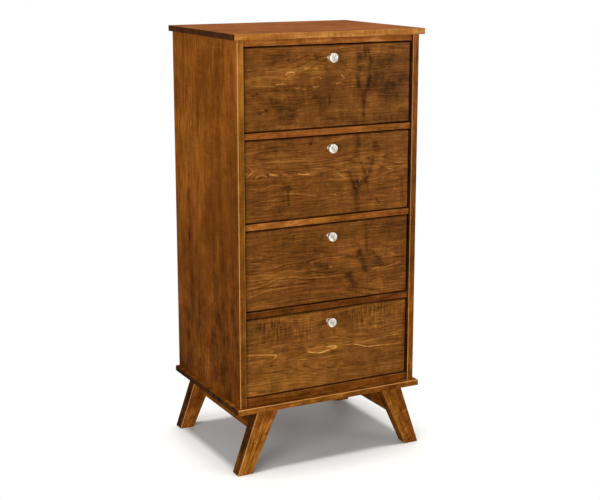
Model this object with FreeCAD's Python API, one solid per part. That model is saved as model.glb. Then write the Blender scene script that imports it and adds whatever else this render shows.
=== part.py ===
import FreeCAD
import Part
import os
from FreeCAD import Vector

# Tall chest with four equal drawers, on four splayed legs. All sizes are in millimetres.
# +X is to the right of someone who faces the drawers, +Y runs from the drawers to the back, and +Z is up.
# The origin is on the floor, in the middle of the overall width and depth, knobs included.

# Overall sizes
height = 1245.0
board_width = 596.0
board_depth = 466.0
board_thickness = 17.0
case_floor_height = 197.0
side_overhang = 12.5
front_overhang = 12.0

# Case
panel_thickness = 19.0
back_thickness = 6.0
rabbet_width = 9.5
front_setback = 10.0
top_rail_height = 18.0
divider_height = 17.0
bottom_rail_height = 21.5
rail_depth = 60.0
back_rail_depth = 70.0
rail_tenon_length = 8.0
rail_tenon_thickness = 8.0
rail_tenon_shoulder = 9.0
tongue_thickness = 8.0
tongue_height = 7.0
tongue_stop = 24.0
joint_play = 0.1
board_ease = 1.5
rail_ease = 0.8

# Legs and base rails
foot_span = 602.0
foot_width = 44.5
leg_top_span = 477.0
leg_top_width = 66.0
leg_thickness = 38.0
leg_inset = 1.0
leg_ease = 1.8
base_rail_spacing = 415.0
base_rail_thickness = 19.0
base_rail_height = 76.0
base_tenon_length = 20.0
base_tenon_thickness = 9.0
base_tenon_shoulder = 13.0

# Drawer fronts
drawer_count = 4
drawer_gap = 3.8
front_thickness = 19.0
front_ease = 1.2

# Drawer boxes
box_thickness = 12.0
box_length = 400.0
box_lift = 10.0
box_headroom = 27.5
bottom_thickness = 6.0
bottom_lift = 10.0
groove_depth = 6.0
groove_end_play = 0.3
tail_count = 5
tail_width = 21.0
tail_flare = 2.0

# Drawer slides, each a case member, a middle member and a drawer member nested in one another
slide_width = 13.0
slide_height = 45.0
slide_length = 390.0
slide_front_gap = 3.0
slide_metal = 1.3
slide_play = 0.3
slide_web_play = 0.5
case_flange_width = 9.5
middle_flange_width = 9.0

# Knobs
knob_length = 27.0
knob_radius = 13.0
knob_rim = 5.0
knob_stem_radius = 4.0
knob_stem_length = 5.0
knob_foot_radius = 5.2
knob_foot_thickness = 1.8
knob_dish_radius = 10.6
knob_dish_depth = 0.9
knob_ease = 0.8
knob_drop = 33.5

# Screws: the base screws hold the base rails and the side panels to the bottom board
hole_play = 0.05
recess_width = 1.1
recess_depth_share = 0.6
recess_length_share = 1.3
base_screw_length = 50.0
base_screw_radius = 2.5
base_screw_head_radius = 4.8
base_screw_head_height = 3.2
base_screw_grip = 38.0
base_screw_count = 3
base_screw_inset = 60.0
panel_screw_inset = 30.0
counterbore_play = 0.8
back_screw_length = 16.0
back_screw_radius = 1.6
back_screw_head_radius = 3.2
back_screw_head_height = 2.0
back_screw_rows = 5
back_screw_inset = 40.0
back_rail_screw_spacing = 200.0
front_screw_length = 25.0
front_screw_radius = 2.0
front_screw_inset_x = 90.0
front_screw_inset_z = 45.0
pan_head_radius = 4.0
pan_head_height = 2.4
knob_screw_radius = 2.0
knob_screw_grip = 10.0

# Modelling values
across = Vector(1, 0, 0)
back = Vector(0, 1, 0)
up = Vector(0, 0, 1)
touch = 0.01
straight_share = 0.99
overrun = 5.0

# Places that follow from the sizes above
knob_reach = knob_length - front_overhang - front_setback
rear_y = (board_depth + knob_reach) / 2
board_front_y = rear_y - board_depth
panel_front_y = board_front_y + front_overhang
rail_front_y = panel_front_y + front_setback
back_panel_y = rear_y - back_thickness
board_half = board_width / 2
outer_half = board_half - side_overhang
inner_half = outer_half - panel_thickness
case_top_z = height - board_thickness
leg_top_z = case_floor_height - board_thickness
clear_height = case_top_z - case_floor_height
rails_height = top_rail_height + bottom_rail_height + (drawer_count - 1) * divider_height
front_height = (clear_height - rails_height - 2 * drawer_count * drawer_gap) / drawer_count
front_half = inner_half - drawer_gap
drawer_pitch = front_height + 2 * drawer_gap + divider_height
box_half = inner_half - slide_width
box_height = front_height - box_lift - box_headroom
box_front_y = rail_front_y + front_thickness
box_back_y = box_front_y + box_length
slide_front_y = box_front_y + slide_front_gap


def block(x0, x1, y0, y1, z0, z1):
    # a box between two corners, given in either order across X
    low = min(x0, x1)
    return Part.makeBox(abs(x1 - x0), y1 - y0, z1 - z0, Vector(low, y0, z0))


def prism(points, direction):
    # a closed outline pushed along a direction
    wire = Part.makePolygon(points + [points[0]])
    return Part.Face(wire).extrude(direction)


def chosen_edges(shape, direction, *places):
    # the straight edges along a direction that lie at each given (axis, place)
    found = []
    for edge in shape.Edges:
        tangent = edge.tangentAt(edge.FirstParameter)
        if abs(tangent.dot(direction)) < straight_share:
            continue
        centre = edge.CenterOfMass
        if all(abs(centre.dot(axis) - place) < touch for axis, place in places):
            found.append(edge)
    return found


def turned_solid(profile):
    # a closed (radius, height) outline spun round Z
    points = [Vector(radius, 0, z) for radius, z in profile]
    wire = Part.makePolygon(points + [points[0]])
    return Part.Face(wire).revolve(Vector(0, 0, 0), up, 360)


def aimed(shape, place, direction):
    # a shape drawn from the origin along +Z, turned to a direction and put in its place
    moved = shape.copy()
    moved.Placement = FreeCAD.Placement(place, FreeCAD.Rotation(up, direction))
    return moved


def countersunk_body(length, radius, head_radius, head_height):
    # head flat at the origin, shank towards +Z, with a pointed tip as long as the shank is thick
    tip = 2 * radius
    profile = [(0, 0), (head_radius, 0), (radius, head_height), (radius, length - tip), (0, length)]
    return turned_solid(profile)


def cross_recess(head_radius, head_height):
    # two crossed slots cut into a screw's head
    reach = head_radius * recess_length_share / 2
    half = recess_width / 2
    depth = head_height * recess_depth_share
    slot = block(-reach, reach, -half, half, -overrun, depth)
    return slot.fuse(block(-half, half, -reach, reach, -overrun, depth))


def countersunk_screw(length, radius, head_radius, head_height):
    body = countersunk_body(length, radius, head_radius, head_height)
    return body.cut(cross_recess(head_radius, head_height))


def countersunk_hole(length, radius, head_radius, head_height):
    # the same body with play all round, run past the surface
    play = hole_play
    body = countersunk_body(length + play, radius + play, head_radius + play, head_height)
    return body.fuse(Part.makeCylinder(head_radius + play, overrun, Vector(0, 0, -overrun)))


def pan_screw(length, radius):
    # head below the origin, shank towards +Z
    head = Part.makeCylinder(pan_head_radius, pan_head_height, Vector(0, 0, -pan_head_height))
    recess = cross_recess(pan_head_radius, pan_head_height)
    recess.translate(Vector(0, 0, -pan_head_height))
    screw = head.fuse(Part.makeCylinder(radius, length))
    return screw.cut(recess).removeSplitter()


def spread(first, last, count):
    # evenly spaced places from first to last
    if count == 1:
        return [(first + last) / 2]
    return [first + (last - first) * step / (count - 1) for step in range(count)]


# Case

def rail_tenon(side, y0, depth, z0, rail_height, play):
    # the stub at a rail's end, or its mortise when play is given
    middle = z0 + rail_height / 2
    half = min(rail_tenon_thickness, rail_height) / 2 + play
    reach = inner_half + rail_tenon_length + play
    return block(side * (inner_half - play), side * reach, y0 + rail_tenon_shoulder - play,
                 y0 + depth - rail_tenon_shoulder + play, middle - half, middle + half)


def cross_rail(y0, depth, z0, rail_height):
    # a rail from side panel to side panel, with eased front edges and a stub tenon at each end
    rail = block(-inner_half, inner_half, y0, y0 + depth, z0, z0 + rail_height)
    rail = rail.makeFillet(rail_ease, chosen_edges(rail, across, (back, y0)))
    for side in (-1, 1):
        rail = rail.fuse(rail_tenon(side, y0, depth, z0, rail_height, 0))
    return rail.removeSplitter()


def rail_places():
    # name, front, depth, foot and height of every rail
    places = [("top_front_rail", rail_front_y, rail_depth, case_top_z - top_rail_height, top_rail_height)]
    for number in range(1, drawer_count):
        z0 = case_top_z - top_rail_height - number * drawer_pitch
        places.append(("divider_rail_%d" % number, rail_front_y, rail_depth, z0, divider_height))
    places.append(("bottom_front_rail", rail_front_y, rail_depth, case_floor_height, bottom_rail_height))
    places.append(("top_back_rail", back_panel_y - back_rail_depth, back_rail_depth,
                   case_top_z - top_rail_height, top_rail_height))
    return places


def panel_tongue(side, play):
    # the tongue on a side panel's top edge, stopped short of the front and of the back panel
    middle = side * (outer_half + inner_half) / 2
    half = tongue_thickness / 2 + play
    return block(middle - half, middle + half, panel_front_y + tongue_stop - play,
                 back_panel_y - tongue_stop + play, case_top_z - play, case_top_z + tongue_height + play)


def side_panel(side):
    panel = block(side * inner_half, side * outer_half, panel_front_y, rear_y, case_floor_height, case_top_z)
    panel = panel.makeFillet(board_ease, chosen_edges(panel, up, (back, panel_front_y)))
    panel = panel.makeFillet(board_ease, chosen_edges(panel, up, (across, side * outer_half), (back, rear_y)))
    rabbet = block(side * (inner_half - overrun), side * (inner_half + rabbet_width), back_panel_y,
                   rear_y + overrun, case_floor_height - overrun, case_top_z + overrun)
    panel = panel.cut(rabbet).fuse(panel_tongue(side, 0))
    for name, y0, depth, z0, rail_height in rail_places():
        panel = panel.cut(rail_tenon(side, y0, depth, z0, rail_height, joint_play))
    for hole in base_screw_holes() + back_screw_holes():
        panel = panel.cut(hole)
    return panel


def plain_board(z0):
    board = block(-board_half, board_half, board_front_y, rear_y, z0, z0 + board_thickness)
    return board.makeFillet(board_ease, board.Edges)


def top_board():
    board = plain_board(case_top_z)
    for side in (-1, 1):
        board = board.cut(panel_tongue(side, joint_play))
    return board


def bottom_board():
    board = plain_board(leg_top_z)
    for hole in base_screw_holes():
        board = board.cut(hole)
    return board


def back_panel():
    half = inner_half + rabbet_width - joint_play
    panel = block(-half, half, back_panel_y, rear_y, case_floor_height, case_top_z)
    for hole in back_screw_holes():
        panel = panel.cut(hole)
    return panel


def back_rail():
    name, y0, depth, z0, rail_height = rail_places()[-1]
    rail = cross_rail(y0, depth, z0, rail_height)
    for hole in back_screw_holes():
        rail = rail.cut(hole)
    return rail


def back_screw_places():
    # on the back panel's face: a column in each side panel's rabbet, and a pair in the top back rail
    places = []
    column = inner_half + rabbet_width / 2
    for z in spread(case_floor_height + back_screw_inset, case_top_z - back_screw_inset, back_screw_rows):
        places.extend([Vector(-column, rear_y, z), Vector(column, rear_y, z)])
    for x in spread(-back_rail_screw_spacing / 2, back_rail_screw_spacing / 2, 2):
        places.append(Vector(x, rear_y, case_top_z - top_rail_height / 2))
    return places


def back_screw_holes():
    hole = countersunk_hole(back_screw_length, back_screw_radius, back_screw_head_radius,
                            back_screw_head_height)
    return [aimed(hole, place, -back) for place in back_screw_places()]


def back_panel_screws():
    screw = countersunk_screw(back_screw_length, back_screw_radius, back_screw_head_radius,
                              back_screw_head_height)
    return Part.makeCompound([aimed(screw, place, -back) for place in back_screw_places()])


# Legs and base rails

def leg_y(row):
    # front face of the front legs (row 0) or of the back legs (row 1)
    return [board_front_y + leg_inset, rear_y - leg_inset - leg_thickness][row]


def base_rail_tenon(side, row, play):
    # the stub at one end of a base rail, or its mortise when play is given
    middle = side * (base_rail_spacing + base_rail_thickness) / 2
    half = base_tenon_thickness / 2 + play
    z0 = leg_top_z - base_rail_height + base_tenon_shoulder - play
    z1 = leg_top_z - base_tenon_shoulder + play
    if row == 0:
        y1 = leg_y(0) + leg_thickness
        return block(middle - half, middle + half, y1 - base_tenon_length - play, y1 + play, z0, z1)
    y0 = leg_y(1)
    return block(middle - half, middle + half, y0 - play, y0 + base_tenon_length + play, z0, z1)


def leg(side, row):
    # a flat board, wider at the top, that leans out to the side towards the floor
    foot_outer = side * foot_span / 2
    foot_inner = side * (foot_span / 2 - foot_width)
    top_outer = side * leg_top_span / 2
    top_inner = side * (leg_top_span / 2 - leg_top_width)
    outline = [(foot_outer, 0), (foot_inner, 0), (top_inner, leg_top_z), (top_outer, leg_top_z)]
    y0 = leg_y(row)
    body = prism([Vector(x, y0, z) for x, z in outline], back * leg_thickness)
    eased = [edge for edge in body.Edges if edge.BoundBox.ZMin < leg_top_z - touch]
    return body.makeFillet(leg_ease, eased).cut(base_rail_tenon(side, row, joint_play))


def base_rail(side):
    # runs from front leg to back leg under the bottom board
    inner = side * base_rail_spacing / 2
    outer = side * (base_rail_spacing / 2 + base_rail_thickness)
    z0 = leg_top_z - base_rail_height
    rail = block(inner, outer, leg_y(0) + leg_thickness, leg_y(1), z0, leg_top_z)
    rail = rail.makeFillet(rail_ease, chosen_edges(rail, back, (up, z0)))
    for row in (0, 1):
        rail = rail.fuse(base_rail_tenon(side, row, 0))
    for hole in base_screw_holes():
        rail = rail.cut(hole)
    return rail.removeSplitter()


def base_screw_places():
    # screws up through each base rail into the bottom board, and up through that board into each side panel
    places = []
    rail_middle = (base_rail_spacing + base_rail_thickness) / 2
    panel_middle = (outer_half + inner_half) / 2
    rail_ends = (leg_y(0) + leg_thickness + base_screw_inset, leg_y(1) - base_screw_inset)
    panel_ends = (rail_front_y + rail_depth + panel_screw_inset, back_panel_y - panel_screw_inset)
    for side in (-1, 1):
        for y in spread(rail_ends[0], rail_ends[1], base_screw_count):
            places.append(Vector(side * rail_middle, y, leg_top_z - base_screw_grip))
        for y in spread(panel_ends[0], panel_ends[1], base_screw_count):
            places.append(Vector(side * panel_middle, y, leg_top_z))
    return places


def base_screw_holes():
    # each with a counterbore from below as deep as the base rail asks for
    hole = countersunk_hole(base_screw_length, base_screw_radius, base_screw_head_radius,
                            base_screw_head_height)
    bore = Part.makeCylinder(base_screw_head_radius + counterbore_play, base_rail_height,
                             Vector(0, 0, -base_rail_height))
    return [aimed(hole.fuse(bore), place, up) for place in base_screw_places()]


def base_screws():
    screw = countersunk_screw(base_screw_length, base_screw_radius, base_screw_head_radius,
                              base_screw_head_height)
    return Part.makeCompound([aimed(screw, place, up) for place in base_screw_places()])


# Drawers, numbered from the top, drawn in place

def front_bottom_z(number):
    return case_top_z - top_rail_height - drawer_gap - front_height - (number - 1) * drawer_pitch


def box_bottom_z(number):
    return front_bottom_z(number) + box_lift


def knob_place(number):
    # middle of the knob's foot on the drawer front
    return Vector(0, rail_front_y, front_bottom_z(number) + front_height - knob_drop)


def front_screw_places(number):
    # on the inner face of the box front
    places = []
    z0 = box_bottom_z(number) + front_screw_inset_z
    z1 = box_bottom_z(number) + box_height - front_screw_inset_z
    for x in (-box_half + front_screw_inset_x, box_half - front_screw_inset_x):
        for z in (z0, z1):
            places.append(Vector(x, box_front_y + box_thickness, z))
    return places


def knob_screw_place(number):
    place = knob_place(number)
    return Vector(place.x, box_front_y + box_thickness, place.z)


def knob_screw_length():
    return box_thickness + front_thickness + knob_screw_grip


def drawer_screw_holes(number):
    front_hole = Part.makeCylinder(front_screw_radius + hole_play, front_screw_length + hole_play)
    knob_hole = Part.makeCylinder(knob_screw_radius + hole_play, knob_screw_length() + hole_play)
    holes = [aimed(front_hole, place, -back) for place in front_screw_places(number)]
    return holes + [aimed(knob_hole, knob_screw_place(number), -back)]


def drawer_screws(number):
    front_screw = pan_screw(front_screw_length, front_screw_radius)
    knob_screw = pan_screw(knob_screw_length(), knob_screw_radius)
    screws = [aimed(front_screw, place, -back) for place in front_screw_places(number)]
    return Part.makeCompound(screws + [aimed(knob_screw, knob_screw_place(number), -back)])


def drawer_front(number):
    z0 = front_bottom_z(number)
    board = block(-front_half, front_half, rail_front_y, box_front_y, z0, z0 + front_height)
    face_edges = chosen_edges(board, across, (back, rail_front_y)) + chosen_edges(board, up, (back, rail_front_y))
    board = board.makeFillet(front_ease, face_edges)
    for hole in drawer_screw_holes(number):
        board = board.cut(hole)
    return board


def drawer_knob(number):
    # a round foot and a thin stem, then a cone that widens to a flat rimmed disc with a shallow dish in its face
    rim_z = knob_length - knob_rim
    profile = [
        (0, 0), (knob_foot_radius, 0), (knob_foot_radius, knob_foot_thickness),
        (knob_stem_radius, knob_foot_thickness), (knob_stem_radius, knob_stem_length),
        (knob_radius, rim_z), (knob_radius, knob_length - knob_ease),
        (knob_radius - knob_ease, knob_length), (knob_dish_radius, knob_length),
        (0, knob_length - knob_dish_depth)]
    knob = aimed(turned_solid(profile), knob_place(number), -back)
    return knob.cut(drawer_screw_holes(number)[-1])


def dovetails(number, side):
    # the wedge-shaped tails at both ends of one box side, each wider at its outer end
    z0 = box_bottom_z(number)
    step = box_height / tail_count
    root_half = tail_width / 2
    end_half = root_half + tail_flare
    x = side * box_half
    tails = []
    for index in range(tail_count):
        middle = z0 + step * (index + 1 / 2)
        for end_y, root_y in ((box_front_y, box_front_y + box_thickness), (box_back_y, box_back_y - box_thickness)):
            outline = [Vector(x, end_y, middle - end_half), Vector(x, end_y, middle + end_half),
                       Vector(x, root_y, middle + root_half), Vector(x, root_y, middle - root_half)]
            tails.append(prism(outline, across * (-side * box_thickness)))
    return tails


def bottom_sheet(number, play, end_play):
    # the drawer bottom, or the grooves that hold it when plays are given
    half = box_half - box_thickness + groove_depth + end_play
    z0 = box_bottom_z(number) + bottom_lift
    y0 = box_front_y + box_thickness - groove_depth - end_play
    y1 = box_back_y - box_thickness + groove_depth + end_play
    return block(-half, half, y0, y1, z0 - play, z0 + bottom_thickness + play)


def box_side(number, side):
    z0 = box_bottom_z(number)
    board = block(side * box_half, side * (box_half - box_thickness), box_front_y + box_thickness,
                  box_back_y - box_thickness, z0, z0 + box_height)
    board = board.fuse(dovetails(number, side)).removeSplitter()
    return board.cut(bottom_sheet(number, joint_play, groove_end_play))


def box_end(number, y0):
    # the box front or back, notched for the tails of both sides
    z0 = box_bottom_z(number)
    board = block(-box_half, box_half, y0, y0 + box_thickness, z0, z0 + box_height)
    for side in (-1, 1):
        board = board.cut(dovetails(number, side))
    board = board.cut(bottom_sheet(number, joint_play, groove_end_play))
    for hole in drawer_screw_holes(number):
        board = board.cut(hole)
    return board


# Drawer slides

def channel(side, web_place, flange_tip, half_height, number):
    # a C-shaped member: its web stands web_place from the side panel, its flanges reach to flange_tip
    y0 = slide_front_y
    y1 = slide_front_y + slide_length
    middle = box_bottom_z(number) + box_height / 2
    web_far = web_place + slide_metal
    if flange_tip < web_place:
        web_far = web_place - slide_metal
    web = block(side * (inner_half - web_place), side * (inner_half - web_far), y0, y1,
                middle - half_height, middle + half_height)
    upper = block(side * (inner_half - web_place), side * (inner_half - flange_tip), y0, y1,
                  middle + half_height - slide_metal, middle + half_height)
    lower = block(side * (inner_half - web_place), side * (inner_half - flange_tip), y0, y1,
                  middle - half_height, middle - half_height + slide_metal)
    return web.fuse([upper, lower]).removeSplitter()


def case_member(side, number):
    return channel(side, 0, case_flange_width, slide_height / 2, number)


def middle_member(side, number):
    web_place = slide_metal + slide_web_play
    half = slide_height / 2 - slide_metal - slide_play
    return channel(side, web_place, web_place + middle_flange_width, half, number)


def drawer_member(side, number):
    half = slide_height / 2 - 2 * (slide_metal + slide_play)
    flange_tip = 2 * (slide_metal + slide_web_play)
    return channel(side, slide_width, flange_tip, half, number)


def pair(member, number):
    return [member(-1, number), member(1, number)]


def all_nodes():
    nodes = {
        "top_board": top_board(),
        "bottom_board": bottom_board(),
        "side_panel_left": side_panel(-1),
        "side_panel_right": side_panel(1),
        "back_panel": back_panel(),
        "back_panel_screws": back_panel_screws(),
        "base_screws": base_screws(),
        "base_rail_left": base_rail(-1),
        "base_rail_right": base_rail(1),
        "leg_front_left": leg(-1, 0),
        "leg_front_right": leg(1, 0),
        "leg_back_left": leg(-1, 1),
        "leg_back_right": leg(1, 1),
    }
    for name, y0, depth, z0, rail_height in rail_places():
        nodes[name] = cross_rail(y0, depth, z0, rail_height)
    nodes["top_back_rail"] = back_rail()
    case_members = []
    for number in range(1, drawer_count + 1):
        name = "drawer_%d_" % number
        nodes[name + "front"] = drawer_front(number)
        nodes[name + "knob"] = drawer_knob(number)
        nodes[name + "side_left"] = box_side(number, -1)
        nodes[name + "side_right"] = box_side(number, 1)
        nodes[name + "box_front"] = box_end(number, box_front_y)
        nodes[name + "box_back"] = box_end(number, box_back_y - box_thickness)
        nodes[name + "bottom"] = bottom_sheet(number, 0, 0)
        nodes[name + "screws"] = drawer_screws(number)
        nodes[name + "slide_members"] = Part.makeCompound(pair(drawer_member, number))
        nodes["slide_%d_middle_members" % number] = Part.makeCompound(pair(middle_member, number))
        case_members.extend(pair(case_member, number))
    nodes["case_slide_members"] = Part.makeCompound(case_members)
    return nodes


os.makedirs("parts", exist_ok=True)
whole = FreeCAD.BoundBox()
for node, shape in all_nodes().items():
    whole.add(shape.BoundBox)
    sound = all(solid.isValid() and solid.Volume > 0 for solid in shape.Solids)
    print("%-28s solids %2d  volume %10.0f  %s" % (node, len(shape.Solids), shape.Volume, "ok" if sound else "BAD"))
    shape.exportStep("parts/%s.step" % node)
print("whole: X %.2f %.2f  Y %.2f %.2f  Z %.2f %.2f" % (
    whole.XMin, whole.XMax, whole.YMin, whole.YMax, whole.ZMin, whole.ZMax))
print("drawer front height %.2f, pitch %.2f" % (front_height, drawer_pitch))
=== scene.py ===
import math
import bmesh
import bpy
from mathutils import Matrix, Vector


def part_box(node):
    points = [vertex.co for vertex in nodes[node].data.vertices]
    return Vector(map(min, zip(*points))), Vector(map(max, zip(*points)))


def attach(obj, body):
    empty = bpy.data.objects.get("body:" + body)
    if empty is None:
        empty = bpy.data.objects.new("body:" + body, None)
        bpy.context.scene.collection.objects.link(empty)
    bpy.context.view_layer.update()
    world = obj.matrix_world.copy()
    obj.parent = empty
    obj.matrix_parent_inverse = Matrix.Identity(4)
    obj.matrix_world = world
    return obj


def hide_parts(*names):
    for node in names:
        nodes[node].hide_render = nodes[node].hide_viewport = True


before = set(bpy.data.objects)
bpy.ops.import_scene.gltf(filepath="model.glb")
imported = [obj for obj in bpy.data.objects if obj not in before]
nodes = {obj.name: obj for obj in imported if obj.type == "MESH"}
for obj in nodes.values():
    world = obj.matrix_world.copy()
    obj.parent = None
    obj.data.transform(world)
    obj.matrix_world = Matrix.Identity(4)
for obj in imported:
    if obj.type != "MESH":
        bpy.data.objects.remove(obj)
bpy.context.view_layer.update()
print("frame loaded:", len(nodes), "CAD nodes")

mm = 0.001
left, right, up = Vector((-1, 0, 0)), Vector((1, 0, 0)), Vector((0, 0, 1))
front, back = Vector((0, -1, 0)), Vector((0, 1, 0))


def linearColour(hexCode):
    # sRGB hex to the linear values that Blender works with
    channels = [int(hexCode[i:i + 2], 16) / 255 for i in (1, 3, 5)]
    return [c / 12.92 if c <= 0.04045 else ((c + 0.055) / 1.055) ** 2.4 for c in channels] + [1.0]


smooth = dict(interpolation_type="SMOOTHSTEP")  # a range that eases in and out


def addNode(tree, kind, values=None, links=None, **settings):
    # one shader node: settings, fixed inputs and what feeds the others; a node there means its output in use
    node = tree.nodes.new("ShaderNode" + kind)
    for name, value in settings.items():
        setattr(node, name, value)
    for socket, value in (values or {}).items():
        node.inputs[socket].default_value = value
    for socket, source in (links or {}).items():
        if isinstance(source, bpy.types.Node):
            source = next(output for output in source.outputs if output.enabled)
        tree.links.new(source, node.inputs[socket])
    return node


def newMaterial(name):
    material = bpy.data.materials.new(name)
    material.use_nodes = True
    material.node_tree.nodes.clear()
    return material, material.node_tree


def setStops(ramp, colours):
    # the hex colours are spread evenly over the ramp
    elements = ramp.color_ramp.elements
    while len(elements) < len(colours):
        elements.new(0.5)
    for index, (element, colour) in enumerate(zip(elements, colours)):
        element.position = index / (len(colours) - 1)
        element.color = linearColour(colour)


def addObject(name, data):
    thing = bpy.data.objects.new(name, data)
    bpy.context.scene.collection.objects.link(thing)
    return thing


# Camera: the photograph's height, turn and focal length, found from the corners of the boards and feet
camera = {
    "place": (-1.7488, -3.3999, 1.4768),
    "pitchDown": 0.2207,
    "turnRight": 0.4789,
    "lens": 78.55,
    "sensorWidth": 36,
    "shiftY": -0.02,
    "reach": 60,
}

cameraData = bpy.data.cameras.new("camera")
cameraData.lens = camera["lens"]
cameraData.sensor_width = camera["sensorWidth"]
cameraData.shift_y = camera["shiftY"]
cameraData.clip_end = camera["reach"]
cameraObject = addObject("camera", cameraData)
cameraObject.location = camera["place"]
cameraObject.rotation_euler = (math.pi / 2 - camera["pitchDown"], 0, -camera["turnRight"])
bpy.context.scene.camera = cameraObject
bpy.context.scene.view_settings.view_transform = "Standard"


# Studio: a white room, one high lamp straight above, and wide soft lamps on three sides
studio = {
    "ambient": 0.24,
    "roomInGloss": 0.5,
    "overhead": dict(height=4, strength=3.4, angle=18.0),
    "floorSize": 16.0,
    "floorColour": "#e4e3e0",
    "floorBounce": "#8f8d8a",
    "paperFlecks": 900.0,  # to a metre
    "paperRelief": 0.0002,
    "shadowMiddle": (0, -0.19, 0),
    "shadowHalf": (0.3, 0.43, 1.0),
    "floorClearTo": 0.13,
    "lampTarget": (0, 0, 0.62),
    "lamps": {
        "keyLamp": dict(place=(-3.4, -3.0, 1.1), size=3.0, power=178, inGloss=True),
        "fillLamp": dict(place=(2.9, -3.3, 1.0), size=2.0, power=36, inGloss=True),
        "backLamp": dict(place=(1.6, 4.2, 1.4), size=2.6, power=62, inGloss=False),
    },
}


def buildWorld():
    world = bpy.data.worlds.new("studioRoom")
    world.use_nodes = True
    tree = world.node_tree
    tree.nodes.clear()
    path = addNode(tree, "LightPath")
    mirrored = addNode(tree, "MapRange", {"To Min": studio["ambient"], "To Max": studio["roomInGloss"]},
                       {"Value": path.outputs["Is Glossy Ray"]})
    strength = addNode(tree, "Math", links={0: mirrored, 1: path.outputs["Is Camera Ray"]},
                       operation="MAXIMUM")
    light = addNode(tree, "Background", {"Color": (1, 1, 1, 1)}, {"Strength": strength})
    addNode(tree, "OutputWorld", links={"Surface": light})
    bpy.context.scene.world = world


def buildFloor():
    # matt white paper: it keeps the shadow under the chest and turns into the white background further out
    material, tree = newMaterial("mattWhitePaper")
    place = addNode(tree, "TexCoord").outputs["Object"]
    path = addNode(tree, "LightPath")
    seen = addNode(tree, "Math", links={0: path.outputs["Is Camera Ray"], 1: path.outputs["Is Glossy Ray"]},
                   operation="MAXIMUM")
    # distance from the area that the chest and its open drawers shade
    distance, nought = place, (0, 0, 0)
    for operation, second in (("SUBTRACT", studio["shadowMiddle"]), ("ABSOLUTE", nought),
                              ("SUBTRACT", studio["shadowHalf"]), ("MAXIMUM", nought), ("LENGTH", nought)):
        distance = addNode(tree, "VectorMath", {1: second}, {0: distance}, operation=operation)
    clear = addNode(tree, "MapRange", {"From Max": studio["floorClearTo"]}, {"Value": distance}, **smooth)
    share = addNode(tree, "Math", links={0: seen, 1: clear}, operation="MULTIPLY")
    paper = addNode(tree, "Mix", {6: linearColour(studio["floorBounce"]),
                    7: linearColour(studio["floorColour"])}, {0: seen}, data_type="RGBA")
    fleck = addNode(tree, "TexNoise", {"Scale": studio["paperFlecks"], "Detail": 2.0}, {"Vector": place})
    grain = addNode(tree, "Bump", {"Strength": 0.05, "Distance": studio["paperRelief"]}, {"Height": fleck})
    matt = addNode(tree, "BsdfDiffuse", links={"Color": paper, "Normal": grain})
    white = addNode(tree, "Emission", {"Color": (1, 1, 1, 1)})
    mixed = addNode(tree, "MixShader", links={0: share, 1: matt, 2: white})
    addNode(tree, "OutputMaterial", links={"Surface": mixed})
    sheet = bmesh.new()
    bmesh.ops.create_grid(sheet, x_segments=8, y_segments=8, size=studio["floorSize"] / 2)
    mesh = bpy.data.meshes.new("floor")
    sheet.to_mesh(mesh)
    sheet.free()
    mesh.materials.append(material)
    floor = addObject("floor", mesh)


def buildLamps():
    overhead = bpy.data.lights.new("overheadLamp", "SUN")
    sun = studio["overhead"]
    overhead.energy = sun["strength"]
    overhead.angle = math.radians(sun["angle"])
    overheadObject = addObject("overheadLamp", overhead)
    overheadObject.location = (0, 0, sun["height"])
    target = Vector(studio["lampTarget"])
    for name, lamp in studio["lamps"].items():
        light = bpy.data.lights.new(name, "AREA")
        light.shape = "DISK"
        light.size = lamp["size"]
        light.energy = lamp["power"]
        lampObject = addObject(name, light)
        lampObject.location = lamp["place"]
        lampObject.rotation_euler = (Vector(lamp["place"]) - target).to_track_quat("Z", "Y").to_euler()
        lampObject.visible_camera = False
        lampObject.visible_glossy = lamp["inGloss"]


buildWorld()
buildFloor()
buildLamps()
print("studio ready")


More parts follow.
